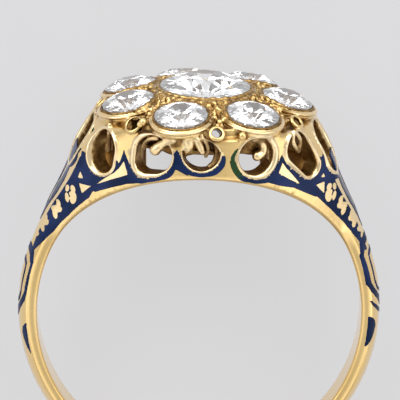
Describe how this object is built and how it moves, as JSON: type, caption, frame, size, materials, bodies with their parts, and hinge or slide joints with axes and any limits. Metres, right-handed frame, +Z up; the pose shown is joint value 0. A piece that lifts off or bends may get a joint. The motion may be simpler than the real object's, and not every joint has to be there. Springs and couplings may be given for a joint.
{
  "type": "enamel diamond cluster ring",
  "caption": "Gold finger ring with a round diamond cluster on a pierced scroll gallery, and blue enamel on its tapered shoulders.",
  "frame": {"origin": "middle of the ring's box, on the surface that it lies on", "axes": "+Z up from the surface, +Y from the head towards the hoop's far side, +X across the ring to its wearer's left"},
  "size_m": [0.0186, 0.0214, 0.0113],
  "materials": {
    "gold": "polished yellow gold of 18 carat, darker in the pierced work",
    "diamond": "clear faceted diamond",
    "enamel": "glossy dark blue enamel, dark green in places"
  },
  "bodies": {
    "root": {"ring_mount": "gold", "centre_diamond": "diamond", "outer_diamond_1": "diamond", "outer_diamond_2": "diamond", "outer_diamond_3": "diamond", "outer_diamond_4": "diamond", "outer_diamond_5": "diamond", "outer_diamond_6": "diamond", "outer_diamond_7": "diamond", "enamel_front": "enamel", "enamel_back": "enamel", "enamel_left": "enamel", "enamel_right": "enamel"}
  },
  "joints": []
}
